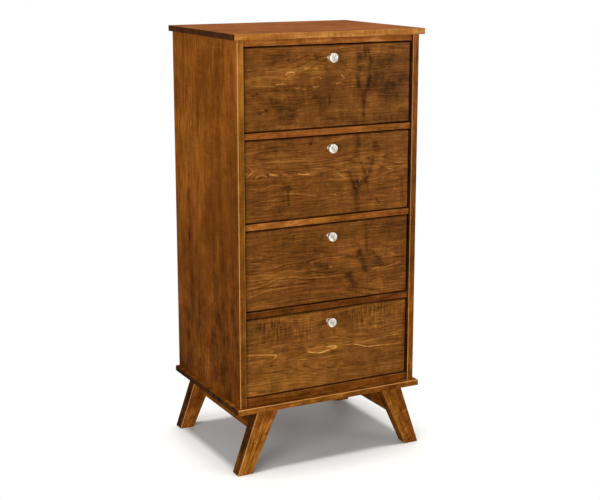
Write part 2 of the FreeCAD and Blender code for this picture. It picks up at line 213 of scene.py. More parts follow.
# Wood: every board has its own material, with the grain laid along it and marks sized in real millimetres.
# Both browns run from the darkest stop to the lightest. A layer is its size along the grain, across it and
# through the board, then its detail, roughness and weight. Real maple pores are 0.1 mm wide, too fine to
# show, so the line layer draws the grain lines 2 to 3 mm wide.
finishes = {
    # Maple under a wiped brown stain and satin lacquer: warm brown, soft dark blotches where it sank in
    "stainedMaple": dict(
        golden=("#1c0d00", "#472804", "#75470f", "#a76c22", "#dca34f"),
        reddish=("#1e0a00", "#4a2305", "#783f12", "#a65f27", "#da965a"),
        wornAndHighlightColour="#cd955c",
        layers={
            "line": ((110, 3.0, 3.0), 3, 0.7, 0.62),
            "fleck": ((20, 3.6, 3.6), 2, 0.6, 0.3),
            "streak": ((220, 10, 10), 3, 0.6, 0.4),
            "band": ((480, 34, 34), 2, 0.5, 0.26),
            "blotch": ((58, 44, 44), 5, 0.66, 0.8),
            "ripple": ((6, 34, 34), 2, 0.5, 0.12),
            "cloud": ((300, 150, 150), 1, 0.5, 0.34),
        },
        rings=-0.1, ringCount=15.0, endTone=-0.24, roughLow=0.38, roughHigh=0.58, gloss=0.05,
    ),
    # Drawer fronts: the same stain on wilder boards, a little greyer, with strong smears at the knots
    "frontMaple": dict(
        golden=("#1a0f03", "#472c0c", "#754a17", "#a56e29", "#e2a950"),
        reddish=("#1c0c03", "#4a290e", "#77441b", "#a5662e", "#dca058"),
        wornAndHighlightColour="#cd955c",
        layers={
            "line": ((170, 3.0, 3.0), 2, 0.5, 0.56),
            "fleck": ((16, 3.0, 3.0), 1, 0.5, 0.22),
            "streak": ((200, 9, 9), 3, 0.6, 0.24),
            "band": ((420, 34, 34), 2, 0.5, 0.2),
            "blotch": ((46, 40, 40), 5, 0.68, 0.5),
            "ripple": ((7, 34, 34), 2, 0.5, 0.14),
            "cloud": ((260, 150, 150), 1, 0.5, 0.38),
        },
        rings=-0.13, ringCount=24.0, endTone=-0.24, roughLow=0.38, roughHigh=0.58, gloss=0.05,
    ),
    # Maple under clear satin lacquer: pale cream with faint pink and tan streaks
    "clearMaple": dict(
        golden=("#9c7446", "#bd9563", "#d3b080", "#e2c79d", "#efdcbc"),
        reddish=("#98664a", "#bb8a68", "#d2a884", "#e1c1a2", "#eed8c2"),
        wornAndHighlightColour="#ecdcc0",
        layers={
            "line": ((120, 2.4, 2.4), 2, 0.6, 0.3),
            "streak": ((260, 8, 8), 3, 0.6, 0.4),
            "band": ((420, 30, 30), 2, 0.5, 0.35),
            "blotch": ((70, 30, 30), 3, 0.55, 0.3),
            "cloud": ((300, 120, 120), 1, 0.5, 0.25),
        },
        rings=-0.16, ringCount=11.0, endTone=-0.3, roughLow=0.36, roughHigh=0.52, gloss=0.15,
    ),
    # Rotary-cut birch plywood, lacquered: pale face with broad wavy flames, brown glue lines at the edges
    "birchPlywood": dict(
        golden=("#94703f", "#b8925c", "#d0ae79", "#dfc497", "#eddab6"),
        reddish=("#8e6242", "#b58561", "#cda37c", "#ddbc98", "#ecd5b8"),
        wornAndHighlightColour="#ead8b6", plyThickness=1.5,
        layers={
            "line": ((90, 2.2, 2.2), 2, 0.6, 0.22),
            "band": ((340, 46, 10), 3, 0.55, 0.5),
            "blotch": ((90, 60, 20), 3, 0.5, 0.3),
            "cloud": ((300, 160, 60), 1, 0.5, 0.3),
        },
        rings=-0.22, ringCount=9.0, endTone=-0.12, roughLow=0.42, roughHigh=0.6, gloss=0.12,
    ),
    # The back: birch plywood under the same brown stain, flatter and duller than the solid boards
    "stainedPlywood": dict(
        golden=("#1f0f02", "#452a0b", "#6b4518", "#92642f", "#bf8f58"),
        reddish=("#200d02", "#47240b", "#6c3f1b", "#945b33", "#bd835a"),
        wornAndHighlightColour="#a9794a", plyThickness=1.5,
        layers={
            "line": ((110, 2.6, 2.6), 2, 0.6, 0.28),
            "band": ((420, 60, 12), 3, 0.55, 0.42),
            "blotch": ((110, 60, 20), 3, 0.5, 0.34),
            "cloud": ((380, 200, 60), 1, 0.5, 0.3),
        },
        rings=-0.2, ringCount=10.0, endTone=-0.12, roughLow=0.5, roughHigh=0.68, gloss=0.05,
    ),
}

# What all boards share. Sizes are in millimetres along the grain, across it and through the board, and a
# pattern with an endless size is the same all through. Chatter and curl are bars across the grain.
figure = {
    "wanderSize": (240, 80, 80), "wander": (0, 34, 34),
    "ringSize": (600, 80, 80), "ringWidth": 0.24,
    "shakeSize": (30, 16, math.inf), "ragged": (34, 36, 0), "trembling": (8, 5, 0),
    "chatter": dict(size=(5.2, 36, 50), dark=0.34, light=0.64, lift=0.7),
    "curl": dict(size=(20, 130, 50), dark=0.32, light=0.66, lift=0.8),
    "lineFullness": 1.15,
    "hueSize": (160, 50, 50), "hueDrift": 0.3, "soakedColour": "#4b3a26",
    "plyTone": 0.35, "wearWander": -2.2, "wearFrom": -0.6,
}

# Used where neither the board nor its finish names a value
plainBoard = dict(
    weights={}, smears=[], chatter=[], curl=[], lines=[], strokes=[], sides=[], hueSides=[], redness=0.5,
    soakGrey=0, rim=0, taper=0, endArris=True, wearWidth=1.6, wearBehind=0, plyThickness=0,
)


def boardTurn(grain, facing):
    # columns: along the grain, across the face, and out of the face
    grain, facing = Vector(grain).normalized(), Vector(facing).normalized()
    return Matrix((grain, facing.cross(grain), facing)).transposed()


def boardLook(node, grain, facing, grow=(0, 0, 0), **more):
    # the board's middle and half size along its own axes; grow moves an end past a joint that hides it
    low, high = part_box(node)
    half = boardTurn(grain, facing).transposed() @ ((high - low) / 2)
    return dict(centre=(low + high) / 2, half=[abs(h) + g * mm for h, g in zip(half, grow)],
                grain=grain, facing=facing, **more)


def sizedNoise(tree, point, size, detail=2, roughness=0.5):
    # soft noise with spots of a size in millimetres
    stretched = addNode(tree, "VectorMath", {1: [1 / (s * mm) for s in size]}, {0: point},
                        operation="MULTIPLY")
    return addNode(tree, "TexNoise", {"Scale": 1.0, "Detail": float(detail), "Roughness": roughness},
                   {"Vector": stretched})


def softPatch(tree, point, along, across, halfLength, halfWidth, strength, angle=0):
    # strength in the middle of an ellipse on the board's face, fading to nothing a little past its rim
    place = {"Location": (along * mm, across * mm, 0), "Rotation": (0, 0, math.radians(angle)),
             "Scale": (halfLength * mm, halfWidth * mm, 10.0)}
    patch = addNode(tree, "Mapping", place, {"Vector": point}, vector_type="TEXTURE")
    reach = addNode(tree, "VectorMath", links={0: patch}, operation="LENGTH")
    return addNode(tree, "MapRange", {"From Min": 0.2, "From Max": 1.5, "To Min": strength, "To Max": 0.0},
                   {"Value": reach}, **smooth)


def figureLine(tree, point, upright, strength, halfWidth, points):
    # a thin light or dark line through points on the face, read along the grain, or across it when upright
    run, rise = ("Y", "X") if upright else ("X", "Y")
    if upright:
        points = sorted((y, x) for x, y in points)
    low, high = points[0][0], points[-1][0]
    bottom, top = min(p[1] for p in points) - 1, max(p[1] for p in points) + 1
    parts = addNode(tree, "SeparateXYZ", links={0: point})
    along = addNode(tree, "MapRange", {"From Min": low * mm, "From Max": high * mm},
                    {"Value": parts.outputs[run]})
    path = addNode(tree, "FloatCurve", links={"Value": along})
    curve = path.mapping.curves[0]
    spots = [((x - low) / (high - low), (y - bottom) / (top - bottom)) for x, y in points]
    curve.points[0].location, curve.points[1].location = spots[0], spots[-1]
    for spot in spots[1:-1]:
        curve.points.new(*spot)
    path.mapping.update()
    height = addNode(tree, "MapRange", {"To Min": bottom * mm, "To Max": top * mm}, {"Value": path})
    gap = addNode(tree, "Math", links={0: parts.outputs[rise], 1: height}, operation="SUBTRACT")
    gap = addNode(tree, "Math", links={0: gap}, operation="ABSOLUTE")
    width = halfWidth * figure["lineFullness"] * mm
    line = addNode(tree, "MapRange", {"From Max": width, "To Min": strength, "To Max": 0.0}, {"Value": gap},
                   **smooth)
    ends = addNode(tree, "Math", {1: 0.5}, {0: along}, operation="SUBTRACT")
    ends = addNode(tree, "Math", links={0: ends}, operation="ABSOLUTE")
    ends = addNode(tree, "MapRange", {"From Min": 0.43, "From Max": 0.499, "To Min": 1.0, "To Max": 0.0},
                   {"Value": ends})
    return addNode(tree, "Math", links={0: line, 1: ends}, operation="MULTIPLY")


def changed(tree, tone, change, share):
    # the tone plus a share of a change
    return addNode(tree, "Math", links={0: change, 1: share, 2: tone}, operation="MULTIPLY_ADD")


def turnedTo(tree, normal, direction, amount=1.0):
    # the amount where the surface faces this way, fading to nothing as it turns away
    toward = addNode(tree, "VectorMath", {1: direction}, {0: normal}, operation="DOT_PRODUCT")
    return addNode(tree, "MapRange", {"From Min": 0.6, "From Max": 0.9, "To Max": amount}, {"Value": toward})


def grainLayers(tree, seeded, look):
    # the grain wanders, and every layer follows it
    slow = sizedNoise(tree, seeded, figure["wanderSize"])
    bent = addNode(tree, "VectorMath", {1: [w * mm for w in figure["wander"]]},
                   {0: slow.outputs["Color"], 2: seeded}, operation="MULTIPLY_ADD")
    return {name: sizedNoise(tree, bent, size, detail, roughness)
            for name, (size, detail, roughness, weight) in look["layers"].items()}


def layeredTone(tree, layers, look):
    # tone runs from 0, the darkest stop, to 1, the lightest
    weights = {name: weight for name, (*shape, weight) in look["layers"].items()}
    weights.update(look["weights"])
    tone = addNode(tree, "Value")
    tone.outputs[0].default_value = look["tone"] - sum(weights.values()) / 2
    for name, weight in weights.items():
        tone = addNode(tree, "Math", {1: weight}, {0: layers[name], 2: tone}, operation="MULTIPLY_ADD")
    return tone


def growthRings(tree, tone, seeded, cloud, look):
    # growth rings cut by the face: thin wavy lines, stronger in some places
    rings = sizedNoise(tree, seeded, figure["ringSize"], 1, 0.4)
    rings = addNode(tree, "Math", {1: look["ringCount"]}, {0: rings}, operation="MULTIPLY")
    rings = addNode(tree, "Math", {1: 0.5}, {0: rings}, operation="PINGPONG")
    rings = addNode(tree, "MapRange", {"From Max": figure["ringWidth"], "To Min": look["rings"],
                    "To Max": 0.0}, {"Value": rings}, **smooth)
    mask = addNode(tree, "MapRange", {"From Min": 0.4, "From Max": 0.62}, {"Value": cloud})
    return changed(tree, tone, rings, mask)


def ownMarks(tree, tone, board, seeded, blotch, look):
    # the board's own marks: smears of stain, a few of them painted shade and painted shadows, bars across
    # the grain and figure lines, all with ragged edges
    if not any(look[kind] for kind in ("smears", "chatter", "curl", "lines")):
        return tone, None
    shake = sizedNoise(tree, seeded, figure["shakeSize"], 3, 0.6)
    centred = addNode(tree, "VectorMath", {1: (0.5, 0.5, 0.5)}, {0: shake.outputs["Color"]},
                      operation="SUBTRACT")
    ragged, trembling = [
        addNode(tree, "VectorMath", {1: [s * mm for s in figure[shift]]}, {0: centred, 2: board},
                operation="MULTIPLY_ADD") for shift in ("ragged", "trembling")]
    depth = addNode(tree, "MapRange", {"From Min": 0.34, "From Max": 0.62, "To Min": 1.05, "To Max": 0.5},
                    {"Value": blotch})
    stainAndShadeSmears = addNode(tree, "Value")
    stainAndShadeSmears.outputs[0].default_value = 0.0
    for smear in look["smears"]:
        stainAndShadeSmears = addNode(tree, "Math", links={0: stainAndShadeSmears, 1: softPatch(tree, ragged, *smear)}, operation="ADD")
    tone = changed(tree, tone, stainAndShadeSmears, depth)
    for kind in ("chatter", "curl"):
        bar = figure[kind]
        bars = addNode(tree, "MapRange", {"From Min": bar["dark"], "From Max": bar["light"], "To Min": -1.0,
                       "To Max": bar["lift"]}, {"Value": sizedNoise(tree, trembling, bar["size"])})
        for patch in look[kind]:
            tone = changed(tree, tone, softPatch(tree, ragged, *patch), bars)
    breaks = addNode(tree, "MapRange", {"From Min": 0.34, "From Max": 0.6, "To Min": 0.5, "To Max": 1.3},
                     {"Value": shake})
    for kind in ("lines", "strokes"):
        for mark in look[kind]:
            tone = changed(tree, tone, figureLine(tree, trembling, kind == "strokes", *mark), breaks)
    return tone, stainAndShadeSmears


def sideTones(tree, value, normal, sides):
    # some faces of a board are darker, lighter or redder than others
    for direction, change in sides:
        turned = turnedTo(tree, normal, direction, change)
        value = addNode(tree, "Math", links={0: value, 1: turned}, operation="ADD")
    return value


def glueLines(tree, tone, through, normal, facing, look):
    # thin dark lines between the plies, on the edges only
    plies = addNode(tree, "Math", {1: 1 / (look["plyThickness"] * mm)}, {0: through}, operation="MULTIPLY")
    plies = addNode(tree, "Math", {1: 1.0}, {0: plies}, operation="PINGPONG")
    plies = addNode(tree, "Math", {1: 0.5}, {0: plies}, operation="SUBTRACT")
    toward = addNode(tree, "VectorMath", {1: facing}, {0: normal}, operation="DOT_PRODUCT")
    edge = addNode(tree, "Math", links={0: toward}, operation="ABSOLUTE")
    edge = addNode(tree, "MapRange", {"From Min": 0.4, "From Max": 0.6, "To Min": figure["plyTone"],
                   "To Max": 0.0}, {"Value": edge})
    return changed(tree, tone, plies, edge)


def stainColour(tree, tone, stainAndShadeSmears, seeded, normal, look):
    # golden and reddish browns drift into one another, and where the smears, stain and painted shade alike,
    # are darkest the wood turns grey brown
    ramps = []
    for stops in (look["golden"], look["reddish"]):
        ramps.append(addNode(tree, "ValToRGB", links={0: tone}))
        setStops(ramps[-1], stops)
    low, high = look["redness"] - figure["hueDrift"], look["redness"] + figure["hueDrift"]
    hue = addNode(tree, "MapRange", {"From Min": 0.3, "From Max": 0.7, "To Min": low, "To Max": high},
                  {"Value": sizedNoise(tree, seeded, figure["hueSize"], 3)})
    hue = sideTones(tree, hue, normal, look["hueSides"])
    colour = addNode(tree, "Mix", links={0: hue, 6: ramps[0], 7: ramps[1]}, data_type="RGBA")
    if look["soakGrey"]:
        share = addNode(tree, "MapRange", {"From Min": -0.03, "From Max": -0.3, "To Max": look["soakGrey"]},
                        {"Value": stainAndShadeSmears})
        colour = addNode(tree, "Mix", {7: linearColour(figure["soakedColour"])}, {0: share, 6: colour},
                         data_type="RGBA")
    return colour


def wornAndHighlightedArrises(tree, colour, blotch, along, across, depth, through, look):
    # the stain wears thin and a highlight is painted where two faces of the board's box meet, so where the
    # second nearest face is near
    second = addNode(tree, "Math", links={0: across, 1: depth}, operation="MAXIMUM")
    if look["endArris"]:
        lower = addNode(tree, "Math", links={0: along, 1: across}, operation="MINIMUM")
        upper = addNode(tree, "Math", links={0: along, 1: across}, operation="MAXIMUM")
        upper = addNode(tree, "Math", links={0: upper, 1: depth}, operation="MINIMUM")
        second = addNode(tree, "Math", links={0: lower, 1: upper}, operation="MAXIMUM")
    second = addNode(tree, "Math", {1: figure["wearWander"] * mm}, {0: blotch, 2: second},
                     operation="MULTIPLY_ADD")
    wear = addNode(tree, "MapRange", {"From Min": figure["wearFrom"] * mm, "To Min": look["wear"],
                   "From Max": look["wearWidth"] * mm, "To Max": 0.0}, {"Value": second}, **smooth)
    showSide = addNode(tree, "MapRange", {"From Min": -mm, "From Max": mm, "To Min": look["wearBehind"]},
                       {"Value": through})
    wear = addNode(tree, "Math", links={0: wear, 1: showSide}, operation="MULTIPLY")
    return addNode(tree, "Mix", {7: linearColour(look["wornAndHighlightColour"])}, {0: wear, 6: colour}, data_type="RGBA")


def patchyRoughness(tree, pattern, finish):
    # the finish is shinier in some places than in others
    return addNode(tree, "MapRange", {"From Min": 0.3, "From Max": 0.7, "To Min": finish["roughLow"],
                   "To Max": finish["roughHigh"]}, {"Value": pattern})


def woodMaterial(name, finish, own):
    material, tree = newMaterial(name)
    look = {**plainBoard, **finish, **own}
    turn = boardTurn(look["grain"], look["facing"])
    place = addNode(tree, "TexCoord")
    normal = place.outputs["Normal"]
    board = addNode(tree, "Mapping", {"Location": look["centre"], "Rotation": turn.to_euler()},
                    {"Vector": place.outputs["Object"]}, vector_type="TEXTURE")
    spot = addNode(tree, "SeparateXYZ", links={0: board})
    seeded = addNode(tree, "VectorMath", {1: look["seed"]}, {0: board}, operation="ADD")
    layers = grainLayers(tree, seeded, look)
    tone = layeredTone(tree, layers, look)
    tone = growthRings(tree, tone, seeded, layers["cloud"], look)
    tone, stainAndShadeSmears = ownMarks(tree, tone, board, seeded, layers["blotch"], look)

    # distances in from the faces of the board's own box, for the rim and the arrises
    offset = addNode(tree, "VectorMath", links={0: board}, operation="ABSOLUTE")
    inset = addNode(tree, "VectorMath", {0: look["half"]}, {1: offset}, operation="SUBTRACT")
    along, across, depth = addNode(tree, "SeparateXYZ", links={0: inset}).outputs
    across = addNode(tree, "Math", {1: look["taper"]}, {0: spot.outputs["X"], 2: across},
                     operation="MULTIPLY_ADD")
    if look["rim"]:
        # painted shade: the show face darkens along its edges, beside the gaps round it
        nearest = addNode(tree, "Math", links={0: along, 1: across}, operation="MINIMUM")
        rim = addNode(tree, "MapRange", {"From Max": look["rimWidth"] * mm, "To Min": look["rim"],
                      "To Max": 0.0}, {"Value": nearest}, **smooth)
        tone = changed(tree, tone, rim, turnedTo(tree, normal, turn.col[2]))

    # end grain drinks more stain
    ends = [(turn.col[0], look["endTone"]), (-turn.col[0], look["endTone"])]
    tone = sideTones(tree, tone, normal, ends + look["sides"])
    if look["plyThickness"]:
        tone = glueLines(tree, tone, spot.outputs["Z"], normal, turn.col[2], look)
    colour = stainColour(tree, tone, stainAndShadeSmears, seeded, normal, look)
    colour = wornAndHighlightedArrises(tree, colour, layers["blotch"], along, across, depth, spot.outputs["Z"], look)
    sheen = patchyRoughness(tree, layers["blotch"], look)
    bump = addNode(tree, "Bump", {"Strength": 0.3, "Distance": 0.4 * mm}, {"Height": layers["line"]})
    shader = addNode(tree, "BsdfPrincipled", {"Specular IOR Level": 0.0, "Coat Weight": look["gloss"],
                     "Coat Roughness": 0.3}, {"Base Color": colour, "Roughness": sheen, "Normal": bump,
                     "Coat Normal": bump})
    addNode(tree, "OutputMaterial", links={"Surface": shader})
    return material


def dress(node, material):
    # a CAD node takes a better material in its own slots
    slots = nodes[node].data.materials
    if not slots:
        slots.append(material)
    for index in range(len(slots)):
        slots[index] = material


def dressWood(node, look, wood="stainedMaple", finish=None):
    dress(node, woodMaterial(wood + "." + node, finishes[finish or wood], look))


# Case boards: tone is how light the brown is, and sides are (direction, tone change) pairs. A mark is its
# place from the board's middle, along the grain and across it, its half length and half width, its tone
# change and its angle, if any. A line is its tone change, its half width and its points.
edgeChatter = [(0, -236, 420, 9, 0.05)]  # faint bars along the front edges of the two flat boards
pastEnds = (30, 0, 0)  # both ends sit in other boards
caseBoards = {
    "top_board": dict(
        grain=right, facing=up, seed=(3.1, 0.4, 7.7), tone=0.54, wear=0.2, redness=0.85, gloss=0.13,
        weights={"line": 0.3, "fleck": 0.16, "blotch": 0.4, "band": 0.18, "cloud": 0.2}, rings=0.0,
        endArris=False, sides=[(front, 0.25), (left, -0.14)], hueSides=[(front, -0.45)],
        chatter=edgeChatter),
    "bottom_board": dict(
        grain=right, facing=up, seed=(1.7, 5.2, 2.9), tone=0.48, wear=0.8, wearWidth=2.4, wornAndHighlightColour="#c98f50",
        endArris=False, sides=[(front, 0.08), (left, -0.12), (up, -0.08)], chatter=edgeChatter),
    "side_panel_left": dict(
        grain=up, facing=left, grow=pastEnds, seed=(8.3, 2.6, 0.8), tone=0.52, wear=0.85, wearWidth=1.5,
        # painted shade: the inner face, beside the drawers, is darker (right, -0.36)
        wearBehind=0.8, wornAndHighlightColour="#c8965c", gloss=0.03, redness=0.66, sides=[(right, -0.36), (front, 0.04)],
        hueSides=[(front, -0.38)],
        weights={"blotch": 0.42, "line": 0.38, "fleck": 0.12, "streak": 0.2, "cloud": 0.5},
        smears=[(480, -103, 26, 28, -0.13), (410, 162, 62, 10, -0.1), (407, 25, 4, 20, -0.2),
                (38, 126, 26, 9, -0.14), (148, -144, 12, 12, -0.12), (-92, 127, 34, 10, -0.12),
                (-232, -188, 84, 16, -0.12), (-348, -23, 36, 36, -0.12), (-340, -23, 18, 14, 0.1),
                (-395, -3, 24, 24, -0.12), (-305, -192, 16, 14, -0.12), (-298, -80, 24, 32, -0.12),
                # painted shade: the broad smear at -560 darkens the panel towards the bottom
                (-361, 147, 60, 20, -0.08), (-560, -40, 420, 640, -0.18)],
        lines=[(0.12, 4, [(435, -31), (491, -32)]), (0.1, 4, [(160, -58), (200, -58)]),
               (0.13, 4, [(-240, -43), (-196, -43)]), (0.12, 4, [(-392, -151), (-360, -151)]),
               (0.08, 8, [(100, 200), (200, 194), (298, 196)]), (0.08, 10, [(370, -170), (470, -168)])]),
    "side_panel_right": dict(
        grain=up, facing=right, grow=pastEnds, seed=(4.9, 9.1, 3.3), tone=0.52, wear=0.7, wearWidth=1.5,
        # painted shade: the inner face, beside the drawers, is darker (left, -0.36)
        wearBehind=0.9, wornAndHighlightColour="#c8965c", redness=0.7, sides=[(left, -0.36)], weights={"blotch": 0.44}),
}

# Rails: grain, facing, seed, tone, wear and painted highlight on the arrises, redness
rails = {
    "top_front_rail": (right, front, (2.2, 6.4, 1.9), 0.7, 0.1, 0.7),
    "divider_rail_1": (right, front, (7.4, 1.1, 4.6), 0.68, 0.1, 0.85),
    "divider_rail_2": (right, front, (0.6, 3.8, 6.2), 0.64, 0.1, 0.75),
    "divider_rail_3": (right, front, (5.5, 7.9, 9.4), 0.4, 0.1, 0.9),
    "bottom_front_rail": (right, front, (9.8, 4.3, 5.1), 0.48, 0.1, 0.8),
    "top_back_rail": (right, front, (6.6, 0.2, 8.5), 0.48, 0.2, 0.5),
    "base_rail_left": (back, left, (3.7, 8.8, 0.1), 0.4, 0.3, 0.5),
    "base_rail_right": (back, right, (1.2, 2.7, 3.9), 0.42, 0.3, 0.5),
}
for node, own in caseBoards.items():
    dressWood(node, boardLook(node, **own))
for node, (grain, facing, seed, tone, wear, redness) in rails.items():
    look = boardLook(node, grain, facing, pastEnds, seed=seed, tone=tone, wear=wear, redness=redness)
    dressWood(node, look)
backLook = boardLook("back_panel", up, back, (0, 20, 0), seed=(2.4, 7.1, 5.6), tone=0.53, wear=0.2)
dressWood("back_panel", backLook, "stainedPlywood")
print("case boards dressed")

# Legs: a leg leans, so its own middle line and taper are given instead of its box. The half length reaches
# past the ends, so no worn and highlighted arris shows there.
legs = {
    "leanX": 0.3759, "leanZ": 0.9267,
    "middleX": 242.1, "middleZ": 90.0, "halfLength": 1000, "halfWidth": 25.6, "taper": 0.0506,
    # painted shade: the left-facing face of every leg is darker, most on the two left legs
    "left": dict(wear=0.6, sides=[(left, -0.34)]),
    "right": dict(wear=0.26, sides=[(left, -0.14)]),
    # marks are in millimetres from the middle of the face, up the leg and to the left
    "each": {
        "leg_front_left": dict(
            seed=(2.1, 5.3, 3.3), tone=0.61,
            # the smear at 88 up darkens a band across the top of the leg, just under the bottom board
            smears=[(36, -16, 6, 5, -0.34), (88, 0, 18, 44, -0.14), (-30, 10, 24, 8, -0.08)],
            lines=[(-0.13, 2.4, [(-84, 8), (-40, 6), (4, 9)]),
                   (-0.11, 2.4, [(-60, -8), (-10, -6), (34, -9)]),
                   (-0.12, 2.4, [(-92, -2), (-50, -3), (-18, -1)]),
                   (0.1, 2.6, [(-20, 2), (20, 1), (62, 4)])]),
        "leg_front_right": dict(
            seed=(6.4, 1.8, 7.7), tone=0.54,
            smears=[(-38, 12, 14, 9, -0.16), (56, -10, 12, 9, -0.17), (50, 22, 9, 7, -0.16),
                    # the smear at 84 up darkens a band across the top of the leg, just under the bottom
                    # board
                    (84, 0, 16, 40, -0.1), (-78, 0, 18, 22, -0.08), (24, -6, 12, 12, -0.08)],
            strokes=[(0.22, 3, [(13, 25), (9, 8), (10, -8), (12, -26)]),
                     (0.17, 2.6, [(54, 27), (66, 18), (80, 8)]),
                     (0.2, 2.6, [(-54, 6), (-40, -8), (-25, -22)]),
                     (-0.1, 2.8, [(30, 24), (36, 4), (34, -18)])],
            lines=[(0.16, 2.6, [(62, -1), (76, -3), (90, -1)]),
                   (0.16, 2.6, [(-62, 16), (-30, 21), (-10, 20)]),
                   (0.12, 2.6, [(20, 14), (34, 10), (46, 13)]),
                   (-0.12, 2.6, [(-86, 6), (-60, 4), (-44, 8)])]),
        "leg_back_left": dict(seed=(4.7, 9.9, 0.6), tone=0.52),
        "leg_back_right": dict(seed=(8.8, 3.5, 5.2), tone=0.55),
    },
}
for node, own in legs["each"].items():
    low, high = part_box(node)
    side = "left" if "left" in node else "right"
    sign = -1 if side == "left" else 1
    look = dict(centre=Vector((sign * legs["middleX"] * mm, (low.y + high.y) / 2, legs["middleZ"] * mm)),
                half=[legs["halfLength"] * mm, legs["halfWidth"] * mm, (high.y - low.y) / 2],
                taper=legs["taper"], grain=(-sign * legs["leanX"], 0, legs["leanZ"]), facing=front,
                wearWidth=2.2, wornAndHighlightColour="#c98f50", weights={"blotch": 0.95, "ripple": 0.2}, **legs[side], **own)
    dressWood(node, look)
print("legs dressed")

